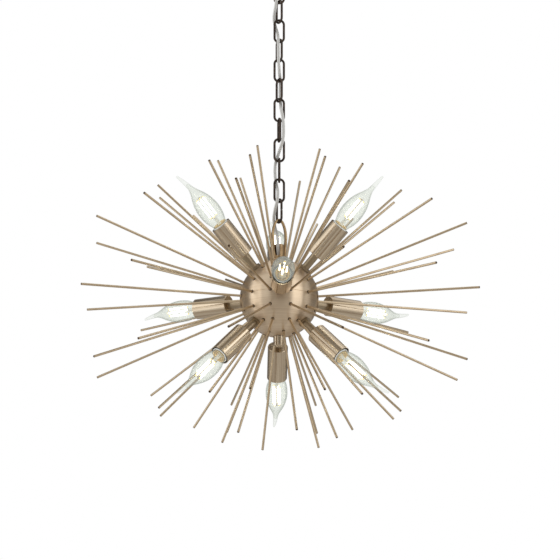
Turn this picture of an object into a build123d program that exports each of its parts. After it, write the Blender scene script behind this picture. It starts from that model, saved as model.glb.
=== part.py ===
from build123d import *

import math
import os

# Starburst pendant light: a ball of rods and candle lamps that hangs on a chain below a ceiling rose.
# Millimetres, +Z up, origin at the centre of the rose's ceiling face.

# Fits between pieces
HOLE_CLEARANCE = 0.2
THREAD_CLEARANCE = 0.05
SEAT_GAP = 0.05
CHAIN_GAP = 0.3
NUT_EDGE = 0.25

# Ceiling rose
ROSE_RADIUS = 60.0
ROSE_HEIGHT = 28.0
ROSE_WALL = 1.2
ROSE_EDGE = 14.0
BRACKET_WIDTH = 22.0
BRACKET_THICKNESS = 2.0
BRACKET_DROP = 12.0
BRACKET_MIDDLE = 22.0
BRACKET_SLOPE = 6.0
BRACKET_FOOT = 18.0
BRACKET_HOLE = 5.2
BRACKET_HOLE_SPACING = 74.0
STEM_NUT_ACROSS = 18.0
STEM_NUT_HEIGHT = 6.0
STEM_SPARE = 2.0
ROSE_LOOP_DROP = 24.0
ROSE_LOOP_RADIUS = 10.4
ROSE_LOOP_WIRE = 4.2
SHOULDER_RADIUS = 9.6
SHOULDER_HEIGHT = 2.4
NECK_RADIUS = 4.8
TERMINAL_BLOCK = (18.0, 16.0, 9.0)
TERMINAL_ROUNDING = 1.5
OUTLET_X = -18.0
OUTLET_Y = -12.0
GROMMET_RADIUS = 4.4
GROMMET_FLANGE = 1.6
GROMMET_LIP = 1.2

# Chain
LINK_COUNT = 12
LINK_WIRE = 3.6
LINK_WIDTH = 18.2
LINK_LENGTH = 40.3
LINK_SLIT = 1.1
SIDE_LINK_TURNS = (27.0, 0.0, 10.0, 31.0, 31.0, 31.0)

# Ball and the loop on it
BALL_RADIUS = 60.0
BALL_WALL = 1.2
SEAM_CHAMFER = 0.4
LOOP_CROWN = 124.6
LOOP_WIDEST = 95.5
LOOP_WIDTH = 26.6
LOOP_FOOT_WIDTH = 21.0
LOOP_CORNER = 5.5
LOOP_BAND = 3.6
LOOP_DEPTH = 5.0
LOOP_ROUNDING = 1.5
FOOT_RADIUS = 7.6
FOOT_HEIGHT = 23.0
FOOT_ROUNDING = 1.2
FOOT_BORE_DEPTH = 18.4
FOOT_HOLE_WIDTH = 7.2
FOOT_HOLE_HEIGHT = 14.0
FOOT_HOLE_TURN = -22.0
LOOP_SEAT_RADIUS = 10.0
LOOP_SEAT_HEIGHT = 2.0
END_NUT_RADIUS = 9.0
END_NUT_HEIGHT = 14.6
END_NUT_FLOOR = 9.0
END_NUT_ROUNDING = 0.8

# Threaded tube, used for the stem, the pipe through the ball and the lamp arms
TUBE_RADIUS = 6.0
TUBE_BORE = 4.6
THREAD_ENGAGED = 4.0
PIPE_SLOT_WIDTH = 6.2
PIPE_SLOT_LOW = 14.0
PIPE_SLOT_HIGH = 55.0
PIPE_END_GAP = 0.6
JUNCTION_RADIUS = 21.0
JUNCTION_HEIGHT = 19.0
JUNCTION_ROUNDING = 2.4

# Rods: reach is measured from the ball's centre to the rod's tip
ROD_RADIUS = 1.8
LONG_REACH = 307.0
MIDDLE_REACH = 254.0
SHORT_REACH = 236.0
ROD_TIP_CHAMFER = 0.5
ROD_THREAD_SPARE = 0.8
ROD_NUT_ACROSS = 6.5
ROD_NUT_HEIGHT = 2.8
# Elevation, azimuth of the first of three lamps' groups, and the offsets to either side of it
LONG_RINGS = ((0.0, 0.0, (15.0, 45.0)), (19.5, 2.0, (16.0, 46.0)), (-21.0, 0.0, (16.0, 46.0)))
MIDDLE_RINGS = ((42.0, 62.0, (23.0, 43.0)), (-44.0, 62.0, (23.0, 43.0)))
SHORT_RINGS = ((66.0, 68.0, (30.0,)), (-68.0, 45.0, (30.0,)))

# Lamps: distances along a lamp's axis are measured from the ball's centre
LAMP_RINGS = ((0.0, 0.0), (44.0, 60.0), (-44.0, 60.0))
LAMP_NUT_ACROSS = 17.0
LAMP_NUT_HEIGHT = 3.0
ARM_SPARE = 1.2
SLEEVE_START = 87.6
SLEEVE_LENGTH = 57.2
SLEEVE_RADIUS = 15.6
SLEEVE_WALL = 1.0
SLEEVE_EDGE = 0.6
HOLDER_CLEARANCE = 0.15
HOLDER_START = 103.8
HOLDER_NECK_RADIUS = 9.0
HOLDER_NECK_HEIGHT = 7.0
HOLDER_FLOOR = 3.6
HOLDER_BODY_RADIUS = 12.6
HOLDER_RIB = 3.6
HOLDER_RIM_WALL = 1.2
HOLDER_COLLAR_PROUD = 0.8
LEAD_RADIUS = 1.2
LEAD_CLEARANCE = 0.3
CAP_RADIUS = 6.9
CAP_CLEARANCE = 0.45
CAP_SKIRT_RADIUS = 8.5
CAP_SKIRT_HEIGHT = 4.4
CAP_LENGTH = 25.0
CAP_CONTACT_RADIUS = 2.4
CAP_CONTACT_HEIGHT = 1.4
CAP_TAPER = 2.2
GLASS_WALL = 0.9
# Height above the cap and outside radius of the glass
GLASS_PROFILE = (
    (0.0, 8.4), (5.2, 10.6), (10.6, 12.5), (18.6, 15.3), (29.5, 17.0), (40.2, 16.7), (50.8, 14.7),
    (60.0, 11.4), (69.0, 7.2), (77.0, 4.4), (86.0, 3.4), (95.4, 2.6), (104.0, 1.7),
)
# How many of those sections, from the cap up, are hollow
GLASS_HOLLOW_COUNT = 10
GLASS_TIP_START = 60.0
GLASS_TIP_BEND = 8.4
STEM_FOOT_RADIUS = 5.2
STEM_FOOT_HEIGHT = 11.0
STEM_POST_RADIUS = 1.5
FILAMENT_START = 22.0
FILAMENT_LENGTH = 34.0
FILAMENT_RADIUS = 1.0
FILAMENT_CIRCLE = 5.3
FILAMENT_COUNT = 4
HUB_RADIUS = 6.6
HUB_HEIGHT = 0.8
# Which way each bulb's bent tip turns about its lamp's axis
TIP_TURNS = (40.0, -80.0, 205.0, 150.0, 20.0, 60.0, 255.0, 90.0, -60.0)

# Flex: route from the terminal block to the junction in the ball, heights above the ball's centre
FLEX_RADIUS = 2.1
FLEX_ARC_SHARE = 0.45
FLEX_ROUTE = (
    (-18.0, -12.0, 543.0), (-18.0, -12.0, 535.5), (-17.4, -11.7, 527.0), (-14.6, -10.5, 516.5),
    (-10.6, -8.8, 505.5), (-6.6, -7.3, 495.0), (-4.6, -6.6, 485.0), (-5.4, -5.0, 475.0),
    (-7.8, -1.0, 464.0), (-8.4, 4.2, 454.0), (-5.4, 6.0, 443.0), (-2.4, 1.2, 431.5),
    (-1.8, -5.2, 421.5), (-1.8, -7.0, 410.5), (-1.7, -6.4, 398.5), (-1.6, -6.8, 386.5),
    (-0.6, -5.0, 375.5), (0.2, 0.4, 366.0), (1.6, 5.6, 356.5), (2.0, 6.8, 345.5),
    (1.5, 6.4, 334.0), (1.6, 6.2, 324.5), (2.4, 4.4, 316.0), (2.3, 0.0, 308.0),
    (3.5, -4.4, 300.0), (5.2, -5.8, 290.5), (6.4, -6.3, 279.5), (6.8, -6.2, 268.0),
    (6.4, -6.0, 257.0), (4.0, -4.6, 246.5), (0.7, 0.0, 237.5), (-2.3, 4.6, 228.5),
    (-5.8, 6.0, 218.5), (-6.6, 5.9, 206.5), (-6.1, 5.8, 194.0), (-4.2, 4.8, 182.5),
    (-2.3, 0.0, 173.0), (-2.3, -4.6, 164.0), (-3.0, -6.4, 155.5), (-4.6, -6.0, 147.5),
    (-6.6, -2.4, 140.5), (-7.8, 2.4, 133.5), (-8.4, 6.2, 126.0), (-7.0, 7.2, 118.0),
    (-5.2, 4.6, 110.0), (-3.6, -0.4, 102.5), (-2.4, -6.2, 95.5), (-2.3, -10.0, 88.5),
    (-2.5, -10.4, 82.0), (-2.3, -7.8, 75.5), (-1.2, -2.8, 69.5), (-0.4, -0.9, 62.0),
    (0.0, -0.6, 53.5), (0.0, -3.2, 45.0), (0.0, -7.4, 36.5), (0.0, -11.5, 27.5),
    (0.0, -13.6, 18.5), (0.0, -13.6, 9.5),
)

# Heights worked out down the chain
BOTTOM = (Align.CENTER, Align.CENTER, Align.MIN)
TOP = (Align.CENTER, Align.CENTER, Align.MAX)
LINK_CROWNS = LINK_LENGTH - LINK_WIRE
ROSE_CROWN_Z = -ROSE_HEIGHT - ROSE_LOOP_DROP


def bottom_crown(number):
    """Height of the wire's centre at the lower end of a link, counted from the ball upwards."""
    first_top = ROSE_CROWN_Z + (ROSE_LOOP_WIRE + LINK_WIRE) / 2 + CHAIN_GAP
    pitch = LINK_CROWNS - LINK_WIRE - CHAIN_GAP
    return first_top - LINK_CROWNS - pitch * (LINK_COUNT - number)


BALL_Z = bottom_crown(1) + (LINK_WIRE + LOOP_BAND) / 2 + CHAIN_GAP - LOOP_CROWN
BALL_INSIDE = BALL_RADIUS - BALL_WALL
TUBE_HOLE = TUBE_RADIUS + HOLE_CLEARANCE
ROD_HOLE = ROD_RADIUS + HOLE_CLEARANCE
FOOT_START = BALL_RADIUS + LOOP_SEAT_HEIGHT
FOOT_TOP = FOOT_START + FOOT_HEIGHT


def on_sphere(radius, from_axis):
    """Height at which a sphere stands over a circle round its axis."""
    return math.sqrt(radius**2 - from_axis**2)


def ray(azimuth, elevation):
    """Frame at the ball's centre with its Z axis along a ray; azimuth 0 is -Y and 90 is +X."""
    turn = math.radians(azimuth)
    rise = math.radians(elevation)
    along = (math.sin(turn) * math.cos(rise), -math.cos(turn) * math.cos(rise), math.sin(rise))
    sideways = (math.cos(turn), math.sin(turn), 0)
    return Plane(origin=(0, 0, BALL_Z), x_dir=sideways, z_dir=along).location


def rod_rays(rings):
    """Rays of the rods in some rings: each ring repeats three times round the ball."""
    rays = []
    for elevation, first, offsets in rings:
        for third in range(3):
            for offset in offsets:
                for side in (-offset, offset):
                    rays.append(ray(first + 120 * third + side, elevation))
    return rays


def tube(outside, inside, start, end):
    """Straight tube along Z."""
    wall = Cylinder(outside, end - start, align=BOTTOM) - Cylinder(inside, end - start, align=BOTTOM)
    return Pos(0, 0, start) * wall


def rod(radius, start, end):
    """Straight round bar along Z."""
    return Pos(0, 0, start) * Cylinder(radius, end - start, align=BOTTOM)


def hex_nut(across, height, bore, start):
    """Hexagon nut on the Z axis, from a given height upwards."""
    blank = extrude(RegularPolygon(across / 2, 6, major_radius=False), height)
    blank = chamfer(blank.edges().filter_by(Axis.Z), NUT_EDGE)
    return Pos(0, 0, start) * (blank - Cylinder(bore, height, align=BOTTOM))


def turned(*outline):
    """Solid of revolution about Z from an outline of radius and height pairs."""
    points = [(radius, 0, height) for radius, height in outline]
    return revolve(make_face(Polyline(*points, close=True)), Axis.Z)


def wire_oval(crowns, half_width, wire):
    """Closed oval of round wire in the XZ plane, with the wire's centre at its lower crown at the origin."""
    low = half_width
    high = crowns - half_width
    section = Circle(wire / 2)
    legs = [Pos(side * half_width, 0, low) * Cylinder(wire / 2, high - low, align=BOTTOM) for side in (-1, 1)]
    upper = revolve(Pos(half_width, 0, high) * section, Axis((0, 0, high), (0, -1, 0)), revolution_arc=180)
    lower = revolve(Pos(half_width, 0, low) * section, Axis((0, 0, low), (0, 1, 0)), revolution_arc=180)
    return legs[0] + legs[1] + upper + lower


# Ceiling rose


def rose_cup():
    """Spun cup, open to the ceiling, with holes for the stem and the flex."""
    blank = Cylinder(ROSE_RADIUS, ROSE_HEIGHT, align=TOP)
    blank = fillet(blank.edges().sort_by(Axis.Z)[0], ROSE_EDGE)
    hollow = Cylinder(ROSE_RADIUS - ROSE_WALL, ROSE_HEIGHT - ROSE_WALL, align=TOP)
    hollow = fillet(hollow.edges().sort_by(Axis.Z)[0], ROSE_EDGE - ROSE_WALL)
    stem_hole = Cylinder(TUBE_HOLE, ROSE_HEIGHT, align=TOP)
    flex_hole = Pos(OUTLET_X, OUTLET_Y, 0) * Cylinder(GROMMET_RADIUS + HOLE_CLEARANCE, ROSE_HEIGHT, align=TOP)
    return blank - hollow - stem_hole - flex_hole


def ceiling_bracket():
    """Hat-shaped strap: its feet lie on the ceiling and its middle carries the stem."""
    foot_start = BRACKET_MIDDLE + BRACKET_SLOPE
    foot_end = foot_start + BRACKET_FOOT
    dropped = -BRACKET_DROP
    upper = [(-foot_end, 0), (-foot_start, 0), (-BRACKET_MIDDLE, dropped)]
    upper += [(BRACKET_MIDDLE, dropped), (foot_start, 0), (foot_end, 0)]
    lower = [(x, z - BRACKET_THICKNESS) for x, z in reversed(upper)]
    outline = Polyline(*[(x, -BRACKET_WIDTH / 2, z) for x, z in upper + lower], close=True)
    strap = extrude(make_face(outline), BRACKET_WIDTH, dir=(0, 1, 0))
    strap -= Cylinder(TUBE_HOLE, BRACKET_DROP + BRACKET_THICKNESS, align=TOP)
    for side in (-1, 1):
        hole = Cylinder(BRACKET_HOLE / 2, BRACKET_THICKNESS, align=TOP)
        strap -= Pos(side * BRACKET_HOLE_SPACING / 2, 0, 0) * hole
    return strap


def rose_loop():
    """Ring under the rose with the shoulder that carries the cup and the threaded stem above it."""
    below_cup = -ROSE_HEIGHT
    ring_centre = ROSE_CROWN_Z + ROSE_LOOP_RADIUS
    ring = Pos(0, 0, ring_centre) * Rot(0, 90, 0) * Torus(ROSE_LOOP_RADIUS, ROSE_LOOP_WIRE / 2)
    shoulder = Pos(0, 0, below_cup) * Cylinder(SHOULDER_RADIUS, SHOULDER_HEIGHT, align=TOP)
    neck = rod(NECK_RADIUS, ring_centre + ROSE_LOOP_RADIUS - ROSE_LOOP_WIRE / 2, below_cup)
    stem = rod(TUBE_RADIUS, below_cup, -BRACKET_DROP + STEM_NUT_HEIGHT + STEM_SPARE)
    return ring + shoulder + neck + stem


def terminal_block():
    """Mains terminal block on the underside of the bracket."""
    length, width, height = TERMINAL_BLOCK
    top = -BRACKET_DROP - BRACKET_THICKNESS
    block = fillet(Box(length, width, height, align=TOP).edges().filter_by(Axis.Z), TERMINAL_ROUNDING)
    return Pos(OUTLET_X, OUTLET_Y, top) * block


def cable_grommet():
    """Bush with a flange on each side of the cup's floor."""
    floor = -ROSE_HEIGHT
    bore = FLEX_RADIUS + LEAD_CLEARANCE
    body = tube(GROMMET_RADIUS, bore, floor - GROMMET_FLANGE, floor + ROSE_WALL + GROMMET_FLANGE)
    for height in (floor - GROMMET_FLANGE, floor + ROSE_WALL):
        body += tube(GROMMET_RADIUS + GROMMET_LIP, bore, height, height + GROMMET_FLANGE)
    return Pos(OUTLET_X, OUTLET_Y, 0) * body


# Chain


def chain_link(number):
    """One oval link; odd links are turned side on, and the lowest has a slit in one leg."""
    link = wire_oval(LINK_CROWNS, (LINK_WIDTH - LINK_WIRE) / 2, LINK_WIRE)
    if number == 1:
        slit = Box(LINK_WIDTH, LINK_WIRE * 2, LINK_SLIT, align=(Align.MIN, Align.CENTER, Align.CENTER))
        link -= Pos(0, 0, LINK_CROWNS / 2) * slit
    turn = 0.0
    if number % 2 == 1:
        turn = SIDE_LINK_TURNS[number // 2] - 90
    return Pos(0, 0, bottom_crown(number)) * Rot(0, 0, turn) * link


def flex():
    """Round tube along the flex's route, with arcs as large as its runs allow."""
    points = [Vector(x, y, z + BALL_Z) for x, y, z in FLEX_ROUTE]
    radii = []
    for before, corner, after in zip(points, points[1:], points[2:]):
        run_in = corner - before
        run_out = after - corner
        half_turn = math.radians(run_in.get_angle(run_out)) / 2
        radii.append(FLEX_ARC_SHARE * min(run_in.length, run_out.length) / math.tan(half_turn))
    path = FilletPolyline(*points, radius=radii)
    section = Plane(origin=path @ 0, z_dir=path % 0) * Circle(FLEX_RADIUS)
    cord = sweep(section, path=path)
    expected = math.pi * FLEX_RADIUS**2 * path.length
    print("flex radii", [round(radius, 1) for radius in radii])
    print("flex length", round(path.length, 1), "volume over section times length", cord.volume / expected)
    return cord


# Ball


def ball_shell(half):
    """Half of the ball, with a chamfered seam and the holes for the rods, arms and pipe."""
    past_rim = BALL_RADIUS + SEAM_CHAMFER
    reach = 2 * SEAM_CHAMFER
    groove = turned((BALL_RADIUS - SEAM_CHAMFER, 0), (past_rim, -reach), (past_rim, reach))
    ball = Sphere(BALL_RADIUS) - Sphere(BALL_INSIDE) - groove - rod(TUBE_HOLE, -BALL_RADIUS, BALL_RADIUS)
    shell = Pos(0, 0, BALL_Z) * split(ball, Plane.XY, keep=half)
    rods = [place * rod(ROD_HOLE, BALL_INSIDE / 2, 2 * BALL_RADIUS) for place in rod_rays(ALL_ROD_RINGS)]
    arms = [place * rod(TUBE_HOLE, BALL_INSIDE / 2, 2 * BALL_RADIUS) for place in lamp_rays()]
    return shell - rods - arms


def loop_seat():
    """Washer that is hollowed to the ball under the loop's foot."""
    washer = tube(LOOP_SEAT_RADIUS, TUBE_HOLE, BALL_INSIDE, FOOT_START)
    return Pos(0, 0, BALL_Z) * (washer - Sphere(BALL_RADIUS + SEAT_GAP))


def loop_outline(inset):
    """Arched outline of the loop, drawn in by an inset: an oval top, drawn-in legs and a rounded bottom."""
    bottom = FOOT_START + inset
    half_width = LOOP_WIDTH / 2 - inset
    half_foot = LOOP_FOOT_WIDTH / 2 - inset
    rise = LOOP_CROWN + LOOP_BAND / 2 - LOOP_WIDEST - inset
    corner = LOOP_CORNER - inset / 2
    arch = Pos(0, LOOP_WIDEST) * Ellipse(half_width, rise)
    arch = split(arch, Plane.XZ.offset(-LOOP_WIDEST), keep=Keep.BOTTOM)
    legs = Polygon(
        (-half_width, LOOP_WIDEST), (half_width, LOOP_WIDEST),
        (half_foot, bottom), (-half_foot, bottom), align=None
    )
    legs = fillet(legs.vertices().sort_by(Axis.Y)[:2], corner)
    return arch + legs


def top_loop():
    """Arched band on a round foot, with a bore from below and a side hole that lets the flex in."""
    band = extrude(Plane.XZ * (loop_outline(0) - loop_outline(LOOP_BAND)), LOOP_DEPTH / 2, both=True)
    band = fillet(band.faces().filter_by(Axis.Y).edges(), LOOP_ROUNDING)
    foot = rod(FOOT_RADIUS, FOOT_START, FOOT_TOP)
    foot = fillet(foot.edges().sort_by(Axis.Z)[-1], FOOT_ROUNDING)
    loop = Rot(0, 0, SIDE_LINK_TURNS[0]) * band + foot
    bore_top = FOOT_START + FOOT_BORE_DEPTH
    loop -= rod(TUBE_BORE, FOOT_START, bore_top)
    loop -= rod(TUBE_RADIUS + THREAD_CLEARANCE, FOOT_START, FOOT_START + THREAD_ENGAGED)
    slot = SlotOverall(FOOT_HOLE_HEIGHT, FOOT_HOLE_WIDTH, rotation=90)
    side_hole = extrude(Plane.XZ * slot, 2 * FOOT_RADIUS)
    side_hole = Pos(0, 0, bore_top - FOOT_HOLE_HEIGHT / 2) * side_hole
    loop -= Rot(0, 0, FOOT_HOLE_TURN) * side_hole
    return Pos(0, 0, BALL_Z) * loop


def end_nut():
    """Cap nut under the ball that closes the pipe."""
    seat = on_sphere(BALL_RADIUS, TUBE_HOLE) + SEAT_GAP
    blank = Cylinder(END_NUT_RADIUS, END_NUT_HEIGHT, align=TOP)
    blank = fillet(blank.edges().sort_by(Axis.Z)[0], END_NUT_ROUNDING)
    bore = Cylinder(TUBE_RADIUS + THREAD_CLEARANCE, END_NUT_HEIGHT - END_NUT_FLOOR, align=TOP)
    return Pos(0, 0, BALL_Z - seat) * (blank - bore)


def ball_pipe():
    """Hollow threaded pipe through the ball, slotted at the front where the flex comes out."""
    nut_floor = on_sphere(BALL_RADIUS, TUBE_HOLE) + SEAT_GAP + END_NUT_HEIGHT - END_NUT_FLOOR
    pipe = tube(TUBE_RADIUS, TUBE_BORE, PIPE_END_GAP - nut_floor, FOOT_START + THREAD_ENGAGED - SEAT_GAP)
    slot_height = PIPE_SLOT_HIGH - PIPE_SLOT_LOW
    slot = Box(PIPE_SLOT_WIDTH, 2 * TUBE_RADIUS, slot_height, align=(Align.CENTER, Align.MAX, Align.MIN))
    return Pos(0, 0, BALL_Z) * (pipe - Pos(0, 0, PIPE_SLOT_LOW) * slot)


def wire_junction():
    """Round connector clipped on the pipe, where the lamp leads meet the flex."""
    half = JUNCTION_HEIGHT / 2
    body = tube(JUNCTION_RADIUS, TUBE_HOLE, -half, half)
    rims = body.edges().filter_by(GeomType.CIRCLE).sort_by(SortBy.RADIUS)[-2:]
    return Pos(0, 0, BALL_Z) * fillet(rims, JUNCTION_ROUNDING)


# Rods


def rod_nut_start():
    """Distance from the ball's centre to the inner face of a rod's nut."""
    corner = ROD_NUT_ACROSS / math.sqrt(3)
    return on_sphere(BALL_INSIDE, corner) - SEAT_GAP - ROD_NUT_HEIGHT


def rods(rings, reach):
    """Straight rods of one length, each with a chamfered tip."""
    bar = rod(ROD_RADIUS, rod_nut_start() - ROD_THREAD_SPARE, reach)
    bar = chamfer(bar.edges().sort_by(Axis.Z)[-1], ROD_TIP_CHAMFER)
    return [place * bar for place in rod_rays(rings)]


def rod_nuts():
    """Nuts inside the ball, one for each rod."""
    nut = hex_nut(ROD_NUT_ACROSS, ROD_NUT_HEIGHT, ROD_RADIUS + THREAD_CLEARANCE, rod_nut_start())
    return [place * nut for place in rod_rays(ALL_ROD_RINGS)]


# Lamps, each built along Z and placed along its ray


def lamp_rays():
    """Rays of the nine lamps: three on the equator, three above and three below."""
    return [ray(first + 120 * third, rise) for rise, first in LAMP_RINGS for third in range(3)]


def lamp_nut_start():
    """Distance from the ball's centre to the inner face of an arm's inside nut."""
    corner = LAMP_NUT_ACROSS / math.sqrt(3)
    return on_sphere(BALL_INSIDE, corner) - SEAT_GAP - LAMP_NUT_HEIGHT


def lamp_arm():
    """Tube from the inside of the ball into the lampholder's neck."""
    return tube(TUBE_RADIUS, TUBE_BORE, lamp_nut_start() - ARM_SPARE, HOLDER_START + HOLDER_NECK_HEIGHT)


def lamp_nut_pair():
    """Nuts that clamp an arm from inside and outside the ball."""
    bore = TUBE_RADIUS + THREAD_CLEARANCE
    outside = on_sphere(BALL_RADIUS, TUBE_HOLE) + SEAT_GAP
    return [hex_nut(LAMP_NUT_ACROSS, LAMP_NUT_HEIGHT, bore, start) for start in (lamp_nut_start(), outside)]


def sleeve():
    """Cup round the lampholder: open at the mouth, with a hole in its back for the arm."""
    back = SLEEVE_START
    mouth = SLEEVE_START + SLEEVE_LENGTH
    inside = SLEEVE_RADIUS - SLEEVE_WALL
    outline = [(TUBE_HOLE, back), (SLEEVE_RADIUS - SLEEVE_EDGE, back), (SLEEVE_RADIUS, back + SLEEVE_EDGE)]
    outline += [(SLEEVE_RADIUS, mouth), (inside, mouth), (inside, back + SLEEVE_WALL)]
    outline += [(TUBE_HOLE, back + SLEEVE_WALL)]
    return turned(*outline)


def holder_floor():
    """Distance from the ball's centre to the bottom of the lampholder's socket."""
    return HOLDER_START + HOLDER_NECK_HEIGHT + HOLDER_FLOOR


def bulb_seat():
    """Distance from the ball's centre to the plane where a bulb's cap meets its glass."""
    return holder_floor() + HOLE_CLEARANCE + CAP_LENGTH


def lampholder():
    """Socket for the bulb's cap: two ribs carry the sleeve, a collar stands out of its mouth."""
    widest = SLEEVE_RADIUS - SLEEVE_WALL - HOLDER_CLEARANCE
    shoulder = HOLDER_START + HOLDER_NECK_HEIGHT
    floor = holder_floor()
    rim_floor = bulb_seat() - CAP_SKIRT_HEIGHT - CAP_CLEARANCE
    upper_rib = rim_floor - HOLDER_RIM_WALL
    collar_top = SLEEVE_START + SLEEVE_LENGTH + HOLDER_COLLAR_PROUD
    collar_inside = HOLDER_BODY_RADIUS - HOLDER_RIM_WALL
    socket = CAP_RADIUS + CAP_CLEARANCE
    thread = TUBE_RADIUS + THREAD_CLEARANCE
    wire_hole = LEAD_RADIUS + LEAD_CLEARANCE
    outside = [(HOLDER_NECK_RADIUS, HOLDER_START), (HOLDER_NECK_RADIUS, shoulder), (widest, shoulder)]
    outside += [(widest, shoulder + HOLDER_RIB), (HOLDER_BODY_RADIUS, shoulder + HOLDER_RIB)]
    outside += [(HOLDER_BODY_RADIUS, upper_rib), (widest, upper_rib), (widest, upper_rib + HOLDER_RIB)]
    outside += [(HOLDER_BODY_RADIUS, upper_rib + HOLDER_RIB), (HOLDER_BODY_RADIUS, collar_top)]
    inside = [(collar_inside, collar_top), (collar_inside, rim_floor)]
    inside += [(socket, rim_floor), (socket, floor), (wire_hole, floor)]
    inside += [(wire_hole, shoulder + SEAT_GAP), (thread, shoulder + SEAT_GAP), (thread, HOLDER_START)]
    return turned(*outside, *inside)


def lamp_lead(rise):
    """Twin lead from the junction through the arm to the lampholder."""
    level = JUNCTION_HEIGHT / 2 + LEAD_RADIUS + LEAD_CLEARANCE
    start = JUNCTION_RADIUS + LEAD_CLEARANCE
    if rise:
        start = level / math.sin(math.radians(abs(rise)))
    return rod(LEAD_RADIUS, start, holder_floor())


def bulb_section(height, radius):
    """Circle across the glass at a height above the cap, on the line that bends towards the tip."""
    tip = GLASS_PROFILE[-1][0]
    along = max(0.0, height - GLASS_TIP_START) / (tip - GLASS_TIP_START)
    offset = GLASS_TIP_BEND * along**2
    slope = 2 * GLASS_TIP_BEND * along / (tip - GLASS_TIP_START)
    return Plane(origin=(offset, 0, height), x_dir=(1, 0, -slope), z_dir=(slope, 0, 1)) * Circle(radius)


def bulb_glass():
    """Hollow candle glass with a bent tip, open where the cap closes it."""
    outside = loft([bulb_section(height, radius) for height, radius in GLASS_PROFILE])
    narrow = GLASS_PROFILE[:GLASS_HOLLOW_COUNT]
    inside = loft([bulb_section(height, radius - GLASS_WALL) for height, radius in narrow])
    return outside - inside


def bulb_cap():
    """Screw cap with its skirt and the contact at its foot, from the glass downwards."""
    low = -CAP_LENGTH
    shell_end = low + CAP_CONTACT_HEIGHT + CAP_TAPER
    contact = low + CAP_CONTACT_HEIGHT
    outline = [(0, 0), (CAP_SKIRT_RADIUS, 0), (CAP_SKIRT_RADIUS, -CAP_SKIRT_HEIGHT)]
    outline += [(CAP_RADIUS, -CAP_SKIRT_HEIGHT), (CAP_RADIUS, shell_end)]
    outline += [(CAP_CONTACT_RADIUS, contact), (CAP_CONTACT_RADIUS, low), (0, low)]
    return turned(*outline)


def bulb_core():
    """Glass stem with the two hubs, and the filament rods between them."""
    upper = FILAMENT_START + FILAMENT_LENGTH
    outline = [(0, 0), (STEM_FOOT_RADIUS, 0), (STEM_POST_RADIUS, STEM_FOOT_HEIGHT)]
    outline += [(STEM_POST_RADIUS, FILAMENT_START - HUB_HEIGHT), (HUB_RADIUS, FILAMENT_START - HUB_HEIGHT)]
    outline += [(HUB_RADIUS, FILAMENT_START), (STEM_POST_RADIUS, FILAMENT_START), (STEM_POST_RADIUS, upper)]
    outline += [(HUB_RADIUS, upper), (HUB_RADIUS, upper + HUB_HEIGHT), (0, upper + HUB_HEIGHT)]
    sticks = []
    for number in range(FILAMENT_COUNT):
        turn = Rot(0, 0, 360 / FILAMENT_COUNT * (number + 0.5))
        stick = rod(FILAMENT_RADIUS, FILAMENT_START, upper)
        sticks.append(turn * Pos(FILAMENT_CIRCLE, 0, 0) * stick)
    return [turned(*outline), *sticks]


def bulb():
    """All pieces of one bulb, its cap seated in the lampholder."""
    seat = Pos(0, 0, bulb_seat())
    return [seat * piece for piece in (bulb_glass(), bulb_cap(), *bulb_core())]


ALL_ROD_RINGS = LONG_RINGS + MIDDLE_RINGS + SHORT_RINGS
LAMP_RISES = [rise for rise, first in LAMP_RINGS for third in range(3)]

pieces = {
    "rose_cup": [rose_cup()],
    "ceiling_bracket": [ceiling_bracket()],
    "rose_loop": [rose_loop()],
    "stem_nut": [hex_nut(STEM_NUT_ACROSS, STEM_NUT_HEIGHT, TUBE_RADIUS + THREAD_CLEARANCE, -BRACKET_DROP)],
    "terminal_block": [terminal_block()],
    "cable_grommet": [cable_grommet()],
    "flex": [flex()],
    "upper_shell": [ball_shell(Keep.TOP)],
    "lower_shell": [ball_shell(Keep.BOTTOM)],
    "loop_seat": [loop_seat()],
    "top_loop": [top_loop()],
    "end_nut": [end_nut()],
    "ball_pipe": [ball_pipe()],
    "wire_junction": [wire_junction()],
    "long_rods": rods(LONG_RINGS, LONG_REACH),
    "middle_rods": rods(MIDDLE_RINGS, MIDDLE_REACH),
    "short_rods": rods(SHORT_RINGS, SHORT_REACH),
    "rod_nuts": rod_nuts(),
    "lamp_arms": [place * lamp_arm() for place in lamp_rays()],
    "arm_nuts": [place * nut for place in lamp_rays() for nut in lamp_nut_pair()],
    "lamp_leads": [place * lamp_lead(rise) for place, rise in zip(lamp_rays(), LAMP_RISES)],
}
for number in range(1, LINK_COUNT + 1):
    pieces[f"link_{number:02d}"] = [chain_link(number)]

one_bulb = bulb()
for number, (place, turn) in enumerate(zip(lamp_rays(), TIP_TURNS), start=1):
    pieces[f"sleeve_{number}"] = [place * sleeve()]
    pieces[f"lampholder_{number}"] = [place * lampholder()]
    pieces[f"bulb_{number}"] = [place * Rot(0, 0, turn) * piece for piece in one_bulb]

os.makedirs("parts", exist_ok=True)
for name, solids in pieces.items():
    bodies = [solid for piece in solids for solid in piece.solids()]
    export_step(Compound(children=bodies), f"parts/{name}.step")
print(len(pieces), "nodes; ball centre at", round(BALL_Z, 3))
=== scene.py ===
import math

import bpy
from mathutils import Matrix, Vector


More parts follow.
